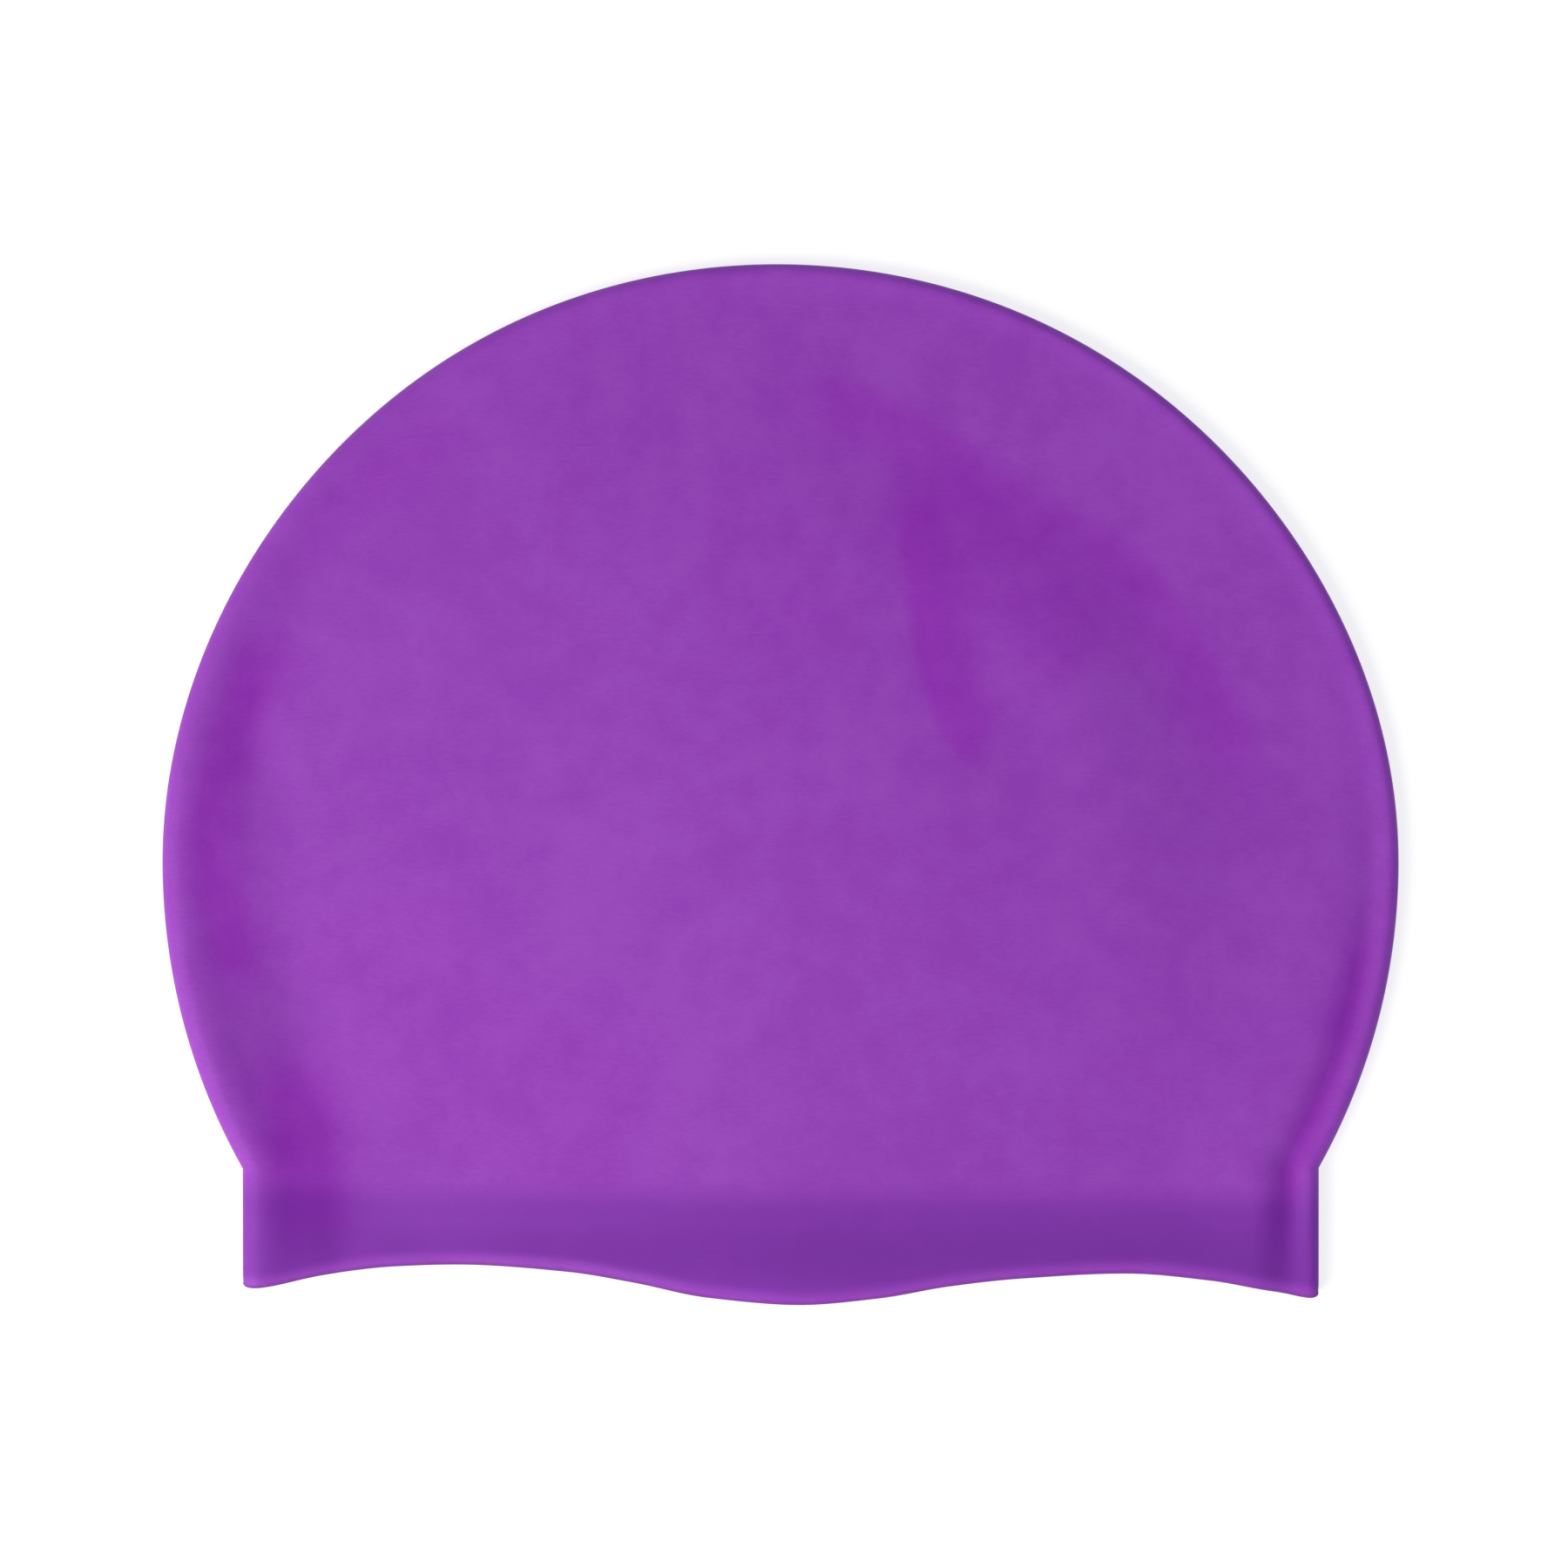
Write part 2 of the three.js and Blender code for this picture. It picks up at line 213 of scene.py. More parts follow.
@dataclass(frozen=True)
class CapShape:
    """The swim cap's sizes in metres, and the surface that they give."""

    width: float = 227 * MM
    length: float = 190.6 * MM
    widest_below_crown: float = 109.9 * MM
    band_tuck: float = 14.7 * MM
    band_side: float = 22.9 * MM
    shoulder_slack: float = 0.7 * MM
    crown_lean: float = 0.8 * MM
    lip_crest: float = 4.35 * MM
    lip_dip: float = 1.65 * MM
    lip_tilt: float = 2.1 * MM
    lip_setback: float = 0.3 * MM
    lip_curl: float = 1.1 * MM
    curl_run: float = 3 * MM
    wall: float = 0.8 * MM
    bead: float = 1.8 * MM
    bead_fade: float = 1.4 * MM
    middle_height: float = 8.6 * MM
    fold_height: float = 7.6 * MM
    middle_inset: float = 105 * MM
    band_hollow: float = 1.1 * MM
    hollow_inset: float = 24 * MM
    stations: tuple[Station, ...] = (
        Station(0, 0.92, (0.095, 0.58), (0.17, 0.325), (0.27, 0.36), (0.45, 0.6)),
        Station(0.045, 0.96, (0.09, 0.675), (0.165, 0.525), (0.26, 0.605), (0.5, 0.8)),
        Station(0.1, 1, (0.09, 0.72), (0.19, 0.525), (0.28, 0.58), (0.55, 0.8)),
        Station(0.16, 1, (0.09, 0.74), (0.185, 0.575), (0.3, 0.64), (0.6, 0.825)),
        Station(0.22, 0.9, (0.075, 0.64), (0.12, 0.505), (0.18, 0.57), (0.5, 0.78)),
        Station(0.35, 0.66, (0.08, 0.49), (0.15, 0.525), (0.25, 0.605), (0.5, 0.825)),
        Station(0.5, 0.5, (0.04, 0.42), (0.12, 0.455), (0.25, 0.58), (0.5, 0.885)),
        Station(0.65, 0.5, (0.037, 0.42), (0.1, 0.435), (0.22, 0.48), (0.47, 0.9)),
        Station(0.78, 0.5, (0.037, 0.405), (0.1, 0.405), (0.24, 0.45), (0.48, 0.84)),
        Station(0.84, 0.55, (0.039, 0.435), (0.08, 0.5), (0.25, 0.56), (0.5, 0.84)),
        Station(0.91, 0.58, (0.036, 0.46), (0.088, 0.7), (0.23, 0.72), (0.45, 0.84)),
        Station(0.955, 0.58, (0.038, 0.44), (0.095, 0.735), (0.22, 0.755), (0.42, 0.85)),
        Station(1, 0.56, (0.042, 0.475), (0.105, 0.685), (0.23, 0.72), (0.42, 0.8)),
    )
    band_course: tuple[Pair, ...] = ((-2.7, 0), (-1.2, -0.5), (0.22, -1), (0.42, -0.6), (1, 2))
    presses: tuple[Press, ...] = (
        Press("right of the middle", (0.28, 0.52), (0.37, 0.08), 1.3, -0.06),
    )
    # Each patch is painted shade: it darkens the colour where the upper wall would lie in shade.
    patches: tuple[PaintedShadePatch, ...] = (
        PaintedShadePatch(
            "tongue",
            (
                (0.2, 0.6), (0.205, 0.5), (0.214, 0.4), (0.227, 0.28), (0.25, 0.156), (0.3, 0.06),
                (0.352, 0.03)
            ),
            10 * MM, 2.2 * MM, 0.78, 0.16,
        ),
        PaintedShadePatch(
            "arc",
            (
                (-0.06, 0.725), (0.03, 0.755), (0.12, 0.74), (0.216, 0.685), (0.385, 0.559),
                (0.554, 0.433), (0.66, 0.282), (0.744, 0.081), (0.79, -0.1)
            ),
            2.6 * MM, 10 * MM, 0.58, 0.18,
        ),
        PaintedShadePatch(
            "inside the arc",
            ((0.12, 0.62), (0.3, 0.47), (0.46, 0.31), (0.55, 0.15)),
            9 * MM, 12 * MM, 0.5, 0.25,
        ),
        PaintedShadePatch(
            "left of the tongue",
            ((-0.16, 0.62), (-0.02, 0.5), (0.02, 0.2)),
            12 * MM, 10 * MM, 0.2, 0.25,
        ),
        PaintedShadePatch(
            "left shoulder",
            ((-0.83, 0.28), (-0.785, 0.42), (-0.63, 0.6), (-0.46, 0.74)),
            6 * MM, 5 * MM, 0.3, 0.3,
        ),
        PaintedShadePatch(
            "left valley",
            ((-0.8, 0.36), (-0.875, 0.15), (-0.92, -0.12), (-0.86, -0.48)),
            6 * MM, 4 * MM, 0.8, 0.2,
        ),
        PaintedShadePatch(
            "left corner",
            ((-0.83, -0.45), (-0.78, -0.7), (-0.76, -0.98)),
            9 * MM, 7 * MM, 0.95, 0.35,
        ),
        PaintedShadePatch(
            "right notch",
            (
                (0.95, -0.22), (0.925, -0.38), (0.885, -0.56), (0.84, -0.7), (0.805, -0.82),
                (0.795, -0.99)
            ),
            3 * MM, 3 * MM, 0.8, 0.2,
        ),
        PaintedShadePatch(
            "low on the left",
            ((-0.72, -0.1), (-0.6, -0.42), (-0.4, -0.62), (-0.1, -0.7)),
            20 * MM, 16 * MM, 0.28, 0.25,
        ),
    )
    fold_samples: int = 300

    @property
    def half_wall(self) -> float:
        """Half the wall's thickness."""
        return self.wall / 2

    @property
    def crown_top(self) -> float:
        """The wall's middle at the crown."""
        return self.length / 2 - self.half_wall

    @property
    def widest_y(self) -> float:
        """The line across the widest part."""
        return self.length / 2 - self.widest_below_crown

    @property
    def corner_y(self) -> float:
        """The line between the two corners of the mouth."""
        return -self.length / 2 + self.lip_dip

    @property
    def notch_y(self) -> float:
        """The line between the two notches."""
        return self.corner_y + self.band_side

    @property
    def fold_half_width(self) -> float:
        """The fold's distance from the middle line at the widest part."""
        return self.width / 2 - self.half_wall

    @property
    def band_half_width(self) -> float:
        """The fold's distance from the middle line along the band."""
        return self.fold_half_width - self.band_tuck

    @property
    def crown_reach(self) -> float:
        """From the widest line up to the crown."""
        return self.crown_top - self.widest_y

    @property
    def skirt_reach(self) -> float:
        """Half height of the ellipse that the sides follow in to the notches."""
        inset = 1 - (self.band_half_width / self.fold_half_width) ** 2
        return (self.widest_y - self.notch_y) / math.sqrt(inset)

    def crown_point(self, turn: float, across: Values) -> Values:
        """Points of one arc of the dome above the widest line.

        Args:
            turn: The arc's turn: a quarter turn is the crown, 0 the widest line.
            across: Shares across the arc, from -1 at the left fold to 1 at the right one.

        Returns:
            One row of x and y for each share.
        """
        if turn > SMALL_TURN:
            x = np.sin(across * turn) / math.tan(turn)
            y = (1 - math.cos(turn) * np.cos(across * turn)) / math.sin(turn)
        else:
            x, y = across, np.zeros_like(across)
        slack = 1 - self.shoulder_slack / (self.width / 2) * SLACK_PEAK * x**4 * y**2
        return np.stack(
            [
                self.fold_half_width * x * slack - self.crown_lean * y * y,
                self.widest_y + self.crown_reach * y * slack,
            ],
            axis=-1,
        )

    def skirt_half_width(self, y: Values) -> Values:
        """The fold's distance from the middle line, at heights below the widest line."""
        inside = np.clip(1 - ((self.widest_y - y) / self.skirt_reach) ** 2, 0, 1)
        return np.where(y <= self.notch_y, self.band_half_width, self.fold_half_width * np.sqrt(inside))

    def lip_wave(self, across: Values) -> Values:
        """The lip's height above the line between the corners.

        Args:
            across: Shares of the band's half width, from -1 at the left corner to 1 at the right one.

        Returns:
            The height at each share.
        """
        crest, dip = self.lip_crest, self.lip_dip
        points = (
            (-1, 0), (-0.86, 0.5 * crest), (-0.72, 0.88 * crest), (-0.58, crest), (-0.4, 0.8 * crest),
            (-0.27, 0.4 * crest), (-0.14, -0.33 * dip), (0.03, -dip), (0.18, -0.22 * dip),
            (0.31, 0.42 * crest), (0.45, 0.77 * crest), (0.65, crest), (0.8, 0.75 * crest),
            (0.93, 0.24 * crest), (1, 0),
        )
        xs, ys = np.array(points).T
        return smooth_through(xs, ys, across)

    def skirt_point(self, rise: float, across: Values, shift: float = 0.0) -> Values:
        """Points of one row below the widest line.

        Args:
            rise: The row's height above the corners of the mouth.
            across: Shares across the row, from -1 at the left fold to 1 at the right one.
            shift: How far the row stands in from the fold.

        Returns:
            One row of x and y for each share.
        """
        fade = 1 - ease(rise / (self.widest_y - self.corner_y))
        wave = self.lip_wave(across) * fade
        tilt = self.lip_tilt / 2 * (1 - ease(rise / self.band_side))
        edge_y = self.corner_y + rise - np.sign(across) * tilt
        half_width = self.skirt_half_width(edge_y) - shift
        return np.stack([across * half_width, self.corner_y + rise + wave - across * tilt], axis=-1)

    def lower_skirt_point(self, rise: float, across: Values) -> Values:
        """The same row of the lower wall, which the bead narrows."""
        return self.skirt_point(rise, across, self.bead_shift(rise))

    def upper_skirt_point(self, rise: float, across: Values) -> Values:
        """The same row of the upper wall, whose lip lies a little behind the lower one.

        Args:
            rise: The row's height above the corners of the mouth.
            across: Shares across the row.

        Returns:
            One row of x and y for each share.
        """
        points = self.lower_skirt_point(rise, across)
        points[:, 1] += self.lip_setback * (1 - across**6) * (1 - ease(rise / self.band_side))
        return points

    def bead_shift(self, rise: float) -> float:
        """How far the bead moves the wall's middle inwards, to thicken on the hollow's side alone."""
        return (self.bead - self.wall) / 2 * (1 - ease((rise - self.bead / 2) / self.bead_fade))

    def fold_path(self) -> Values:
        """The fold seen from above, from the left corner of the mouth over the crown to the right one.

        Returns:
            The fold's points, one row of x and y each.
        """
        count = self.fold_samples
        drop = self.widest_y - self.corner_y
        rises = [drop * k / count for k in range(count)]
        turns = [math.pi / 2 * k / count for k in range(count + 1)]
        left = [self.skirt_point(rise, LEFT_END)[0] for rise in rises]
        left += [self.crown_point(turn, LEFT_END)[0] for turn in turns]
        right = [self.crown_point(turn, RIGHT_END)[0] for turn in turns[-2::-1]]
        right += [self.skirt_point(rise, RIGHT_END)[0] for rise in rises[::-1]]
        return np.array(left + right)

    def fold_value(self, at: Values, pick: Callable[[Station], float]) -> Values:
        """One value of the stations, at shares of the fold's length.

        Args:
            at: The shares of the fold's length.
            pick: Takes the value from a station.

        Returns:
            The value at each share.
        """
        xs = np.array([station.at for station in self.stations])
        ys = np.array([pick(station) for station in self.stations])
        return smooth_through(xs, ys, at)

    def fold_radius(self, at: Values) -> Values:
        """The fold's outer radius, which is also the height of the roll's middle."""
        return self.fold_value(at, lambda station: station.height) * self.fold_height / 2

    def roll_rise(self, inset: Values, radius: Values) -> Values:
        """The roll's half height over its own middle, at insets from the fold's edge."""
        return np.sqrt(np.maximum(0, radius**2 - np.maximum(0, radius - inset) ** 2))

    def press_rise(self, points: Values) -> Values:
        """The height that the soft presses add.

        Args:
            points: The points, one row of x and y each.

        Returns:
            The height at each point.
        """
        total = np.zeros(len(points))
        half = np.array([self.width / 2, self.length / 2])
        for press in self.presses:
            line = np.array([press.start, press.end]) * half
            away = nearest_on_path(points, line)[0] / (press.width * self.middle_height)
            total += press.rise * self.middle_height * np.exp(-away * away)
        return total

    def painted_shade(self, points: Values) -> Values:
        """How strongly the patches of painted shade show on the upper wall.

        Args:
            points: The points, one row of x and y each.

        Returns:
            The painted shade at each point, from 0 to about 1.
        """
        kept = np.ones(len(points))
        half = np.array([self.width / 2, self.length / 2])
        for patch in self.patches:
            path = smooth_path(np.array(patch.path) * half)
            share, signed = nearest_on_path(points, path)[1:]
            away = signed / np.where(signed > 0, patch.right, patch.left)
            fade = ease(share / patch.ends) * ease((1 - share) / patch.ends)
            kept *= 1 - np.clip(patch.depth * fade * np.exp(-np.abs(away) ** 3), 0, 1)
        return 1 - kept

    def upper_height(self, points: Values, rise: Values, inset: Values, at: Values) -> Values:
        """Height of the middle of the upper wall.

        Args:
            points: The points, one row of x and y each.
            rise: Their distances above the lip.
            inset: Their distances in from the fold's edge.
            at: The shares of the fold's length where they are nearest.

        Returns:
            The height above the floor at each point.
        """
        middle = self.fold_radius(at)
        shift = self.bead_shift(rise)
        top = middle - self.half_wall
        crest = self.roll_rise(inset - shift, top - shift)
        curl = self.lip_curl * np.maximum(0, 1 - rise / self.curl_run) ** 2 * crest / (top - shift)
        picks = ("valley", "bank", "shelf", "flank")
        reach = [self.fold_value(at, lambda s, p=p: getattr(s, p)[0]) * self.width / 2 for p in picks]
        tops = [self.fold_value(at, lambda s, p=p: getattr(s, p)[1]) * self.middle_height for p in picks]
        xs = np.stack([top, *reach, np.full_like(top, self.middle_inset)])
        ys = np.stack([2 * middle, *tops, np.full_like(top, self.middle_height)])
        section = smooth_through(xs, ys - self.half_wall, inset)
        inward = ease((inset - top) / self.hollow_inset)
        course = np.array(self.band_course) * (self.band_side, self.band_hollow)
        sag = smooth_through(course[:, 0], course[:, 1], self.notch_y - points[:, 1])
        pressed = self.press_rise(points) + sag
        return np.where(inset <= top, middle + crest, section + inward * pressed - shift) - curl

    def lower_height(self, rise: Values, inset: Values, at: Values) -> Values:
        """Height of the middle of the lower wall, which lies on the floor with its bead.

        Args:
            rise: The points' distances above the lip.
            inset: Their distances in from the fold's edge.
            at: The shares of the fold's length where they are nearest.

        Returns:
            The height above the floor at each point.
        """
        middle = self.fold_radius(at)
        shift = self.bead_shift(rise)
        return middle - self.roll_rise(inset - shift, middle - self.half_wall - shift)


# The mesh of the wall's middle


@dataclass(frozen=True)
class Row:
    """One row across the cap: its distance above the lip, its reach to a side, and its points."""

    rise: float
    reach: float
    upper: Callable[[Values], Values]
    lower: Callable[[Values], Values]


@dataclass
class WallGrid:
    """The wall's middle as closed rows from the crown to the lip, over the upper wall and back under."""

    shape: CapShape
    roll_steps: int = 12
    crown_rows: int = 84
    skirt_rows: int = 42
    band_rows: int = 22
    upper_insets: int = 16
    upper_middle: int = 64
    lower_insets: int = 5
    lower_middle: int = 22
    bead_rows: int = 6
    band_end: float = 1.9
    bead_start: float = 1.7
    bead_end: float = 0.7
    inset_end: float = 0.3
    inset_spread: float = 1.35
    widest_inset_share: float = 0.7
    band_start: float = 0.2
    band_lean: float = 0.05
    band_softness: float = 3
    lip_light_start: float = 0.8 * MM
    lip_light_end: float = 2.6 * MM
    lip_light_fade: float = 1.6 * MM
    positions: Values = field(default_factory=lambda: np.zeros((0, 3)))
    above_lip: Values = field(default_factory=lambda: np.zeros(0))
    band_shade_share: Values = field(default_factory=lambda: np.zeros(0))
    painted_shade: Values = field(default_factory=lambda: np.zeros(0))
    around: int = 0

    def quarter(self, radius: float) -> list[float]:
        """Insets that go round a quarter circle in equal turns, without the first."""
        turn = math.pi / 2 / self.roll_steps
        return [radius * (1 - math.cos((k + 1) * turn)) for k in range(self.roll_steps)]

    def shares_across(self, reach: float, insets: int, middle: int, rolls: Sequence[float]) -> Values:
        """Shares across a row, close together beside the folds.

        Args:
            reach: The row's length from its middle to a side.
            insets: How many points follow each roll.
            middle: How many steps cross the middle.
            rolls: The radii of the wall's middle in the left and the right roll.

        Returns:
            The shares from -1 to 1.
        """
        sides = []
        for roll in rolls:
            end = self.inset_end * self.shape.width / 2
            rest = [roll + (end - roll) * ((k + 1) / insets) ** self.inset_spread for k in range(insets)]
            reaches = np.array([0.0, *self.quarter(roll), *rest])
            shrink = min(1.0, self.widest_inset_share * reach / reaches[-1])
            sides.append(reaches * shrink / reach)
        left, right = sides
        inner = np.linspace(-1 + left[-1], 1 - right[-1], middle + 1)[1:-1]
        return np.concatenate([left - 1, inner, (1 - right)[::-1]])

    def rows(self) -> list[Row]:
        """The rows across the cap.

        Returns:
            The rows in order from the crown to the lip.
        """
        shape = self.shape
        crown_roll = float(shape.fold_radius(AT_CROWN)[0]) - shape.half_wall
        drops = self.quarter(crown_roll)
        turns = [2 * math.atan(1 - drop / shape.crown_reach) for drop in drops]
        turns += list(np.linspace(turns[-1], 0, self.crown_rows + 1)[1:])
        rows = []
        for turn in turns:
            reach = shape.fold_half_width * (turn / math.tan(turn) if turn > SMALL_TURN else 1.0)
            point = partial(shape.crown_point, turn)
            rows.append(Row(FAR_ABOVE_LIP, reach, point, point))
        skirt = np.linspace(shape.widest_y - shape.corner_y, shape.band_side, self.skirt_rows + 1)[1:]
        band = np.linspace(shape.band_side, self.band_end * shape.bead, self.band_rows + 1)[1:]
        bead = shape.bead * np.linspace(self.bead_start, self.bead_end, self.bead_rows)
        nose = [0.0, *self.quarter(shape.bead / 2)][::-1]
        for rise in [*skirt, *band, *bead, *nose]:
            reach = float(shape.skirt_half_width(np.array(shape.corner_y + rise)))
            upper = partial(shape.upper_skirt_point, float(rise))
            lower = partial(shape.lower_skirt_point, float(rise))
            rows.append(Row(float(rise), reach, upper, lower))
        return rows

    def build(self) -> "WallGrid":
        """Works out every point and the values that the material reads.

        Returns:
            This grid, filled.
        """
        shape = self.shape
        fold = shape.fold_path()
        points, rises, uppers = [], [], []
        rows = self.rows()
        for row in rows:
            ends = nearest_on_path(row.lower(BOTH_ENDS), fold)[1]
            rolls = shape.fold_radius(ends) - shape.half_wall
            upper = self.shares_across(row.reach, self.upper_insets, self.upper_middle, rolls)
            lower = self.shares_across(row.reach, self.lower_insets, self.lower_middle, rolls)
            lower = lower[1:-1][::-1]
            count = len(upper) + len(lower)
            points.append(np.concatenate([row.upper(upper), row.lower(lower)]))
            rises.append(np.full(count, row.rise))
            uppers.append(np.arange(count) < len(upper))
        self.around = len(points[0])
        flat = np.concatenate(points)
        inset, at = nearest_on_path(flat, fold)[:2]
        ends = np.tile(np.isclose(np.arange(self.around), 0), len(rows))
        ends |= np.tile(np.arange(self.around) == len(upper) - 1, len(rows))
        inset = np.where(ends, 0.0, inset)
        rise = np.concatenate(rises)
        top = shape.upper_height(flat, rise, inset, at)
        lower_height = shape.lower_height(rise, inset, at)
        height = np.where(np.concatenate(uppers), top, lower_height)
        crown = float(shape.fold_radius(AT_CROWN)[0])
        pole = [-shape.crown_lean, shape.crown_top, crown]
        self.positions = np.vstack([np.column_stack([flat, height]), pole])
        self.above_lip = np.append(rise, FAR_ABOVE_LIP)
        below = (shape.notch_y - self.positions[:, 1]) / shape.band_side
        lean = self.band_lean * self.positions[:, 0] / shape.band_half_width
        # The painted shade of the band and the patches is lifted over the lip's bead, so the lip shows
        # lighter than the band beside it.
        past = ease((self.lip_light_end - self.above_lip) / self.lip_light_fade)
        on_lip = ease(self.above_lip / self.lip_light_start) * past
        # The band's painted shade, from the notch line down, kept off the lip's bead.
        self.band_shade_share = ease(0.5 + (below - self.band_start - lean) * self.band_softness) * (1 - on_lip)
        upper_side = np.append(np.concatenate(uppers), True)
        # The patches' painted shade, kept off the lip's bead and the lower wall.
        self.painted_shade = shape.painted_shade(self.positions[:, :2]) * (1 - on_lip) * upper_side
        return self

    def faces(self) -> list[tuple[int, ...]]:
        """The grid's faces, which point outwards: a fan at the crown, and four-sided ones below.

        Returns:
            The faces, each as the numbers of its points.
        """
        around = self.around
        pole = len(self.positions) - 1
        fan = [(pole, k, (k + 1) % around) for k in range(around)]
        quads = []
        for row in range((len(self.positions) - 1) // around - 1):
            start, below = row * around, (row + 1) * around
            for k in range(around):
                after = (k + 1) % around
                quads.append((start + k, below + k, below + after, start + after))
        return fan + quads

    def mesh(self, name: str) -> bpy.types.Mesh:
        """The grid as a mesh, with its values as point attributes.

        Args:
            name: The mesh's name.

        Returns:
            The mesh.
        """
        mesh = bpy.data.meshes.new(name)
        mesh.from_pydata(self.positions.tolist(), [], self.faces())
        for title in ("above_lip", "band_shade_share", "painted_shade"):
            mesh.attributes.new(title, "FLOAT", "POINT").data.foreach_set("value", getattr(self, title))
        mesh.update()
        return mesh


# Geometry nodes


def socket_key(name: str) -> Union[int, str]:
    """An input's number or name, from the way that it is written as a keyword."""
    return int(name[1:]) if name[1:].isdigit() else name.replace("_", " ")


def feed(tree: bpy.types.NodeTree, value: object, socket: bpy.types.NodeSocket) -> None:
    """Links an output to an input, or sets the input to a constant.

    Args:
        tree: The tree that holds both.
        value: The output or the constant.
        socket: The input.
    """
    if isinstance(value, bpy.types.NodeSocket):
        tree.links.new(value, socket)
    else:
        socket.default_value = value


@dataclass
class GeometryTree:
    """A Geometry Nodes tree in the making, with short ways to add its nodes."""

    name: str
    inputs: Mapping[str, tuple[str, float]]

    def __post_init__(self) -> None:
        """Makes the empty tree with its named inputs."""
        self.tree = bpy.data.node_groups.new(self.name, "GeometryNodeTree")
        face = self.tree.interface
        face.new_socket("Geometry", in_out="INPUT", socket_type="NodeSocketGeometry")
        for title, (kind, default) in self.inputs.items():
            socket = face.new_socket(title, in_out="INPUT", socket_type=kind)
            socket.default_value = default
        face.new_socket("Geometry", in_out="OUTPUT", socket_type="NodeSocketGeometry")
        self.entry = self.tree.nodes.new("NodeGroupInput")
        self.exit = self.tree.nodes.new("NodeGroupOutput")

    def node(self, kind: str, settings: Mapping[str, object], **sockets: object) -> bpy.types.Node:
        """Adds one node.

        Args:
            kind: The node's type.
            settings: The node's own settings, which are set first.
            sockets: A value or an output to link, for each input by name, or by number as s0, s1.

        Returns:
            The node.
        """
        made = self.tree.nodes.new(kind)
        for key, value in settings.items():
            setattr(made, key, value)
        for key, value in sockets.items():
            feed(self.tree, value, made.inputs[socket_key(key)])
        return made

    def math(self, operation: str, *terms: object) -> bpy.types.NodeSocket:
        """Adds a Math node on values or outputs, and gives its output."""
        sockets = {f"s{k}": term for k, term in enumerate(terms)}
        return self.node("ShaderNodeMath", {"operation": operation}, **sockets).outputs[0]

    def bake(self, obj: bpy.types.Object, sizes: Mapping[str, float]) -> None:
        """Runs the tree on an object and keeps its result as the object's plain mesh.

        Args:
            obj: The object that is changed.
            sizes: A value for each input that has its own on this object.
        """
        modifier = obj.modifiers.new(self.name, "NODES")
        modifier.node_group = self.tree
        for item in self.tree.interface.items_tree:
            if item.item_type == "SOCKET" and item.in_out == "INPUT" and item.name in sizes:
                modifier[item.identifier] = sizes[item.name]
        bpy.context.view_layer.update()
        seen = obj.evaluated_get(bpy.context.evaluated_depsgraph_get())
        baked = bpy.data.meshes.new_from_object(seen)
        obj.modifiers.remove(modifier)
        old = obj.data
        obj.data = baked
        bpy.data.meshes.remove(old)


def wall_tree(finish: bpy.types.Material) -> GeometryTree:
    """The tree that gives the cap's middle surface its wall, and the lip its round bead.

    Args:
        finish: The material that the wall gets.

    Returns:
        The tree, with named inputs for the wall, the bead and the bead's fade.
    """
    inputs = {
        "Wall Thickness": ("NodeSocketFloat", 0.8 * MM),
        "Bead Thickness": ("NodeSocketFloat", 1.8 * MM),
        "Bead Fade": ("NodeSocketFloat", 1.4 * MM),
    }
    tree = GeometryTree("moulded_wall", inputs)
    entry = tree.entry.outputs
    named = tree.node("GeometryNodeInputNamedAttribute", {"data_type": "FLOAT"}, Name="above_lip")
    above = named.outputs[0]
    radius = tree.math("MULTIPLY", entry["Bead Thickness"], 0.5)
    thin = tree.math("MULTIPLY", entry["Wall Thickness"], 0.5)
    short = tree.math("MAXIMUM", tree.math("SUBTRACT", radius, above), 0.0)
    whole = tree.math("MULTIPLY", radius, radius)
    square = tree.math("SUBTRACT", whole, tree.math("MULTIPLY", short, short))
    nose = tree.math("SQRT", tree.math("MAXIMUM", square, 0.0))
    past = tree.math("DIVIDE", tree.math("SUBTRACT", above, radius), entry["Bead Fade"])
    faded = tree.node("ShaderNodeMapRange", {"interpolation_type": "SMOOTHSTEP"}, Value=past).outputs[0]
    half = tree.math("SUBTRACT", nose, tree.math("MULTIPLY", faded, tree.math("SUBTRACT", radius, thin)))
    skins = []
    source = entry["Geometry"]
    for side in Side:
        if side is Side.INNER:
            source = tree.node("GeometryNodeFlipFaces", {}, Mesh=source).outputs[0]
        normal = tree.node("GeometryNodeInputNormal", {}).outputs[0]
        offset = tree.node("ShaderNodeVectorMath", {"operation": "SCALE"}, s0=normal, Scale=half).outputs[0]
        skins.append(tree.node("GeometryNodeSetPosition", {}, Geometry=source, Offset=offset).outputs[0])
    joined = tree.node("GeometryNodeJoinGeometry", {})
    for skin in skins:
        tree.tree.links.new(skin, joined.inputs[0])
    merged = tree.node("GeometryNodeMergeByDistance", {}, Geometry=joined.outputs[0], Distance=1e-6)
    smooth = tree.node("GeometryNodeSetShadeSmooth", {}, Geometry=merged.outputs[0], Shade_Smooth=True)
    real = tree.node("GeometryNodeRealizeInstances", {}, Geometry=smooth.outputs[0])
    dressed = tree.node("GeometryNodeSetMaterial", {}, Geometry=real.outputs[0], Material=finish)
    tree.tree.links.new(dressed.outputs[0], tree.exit.inputs[0])
    return tree


# Shader nodes


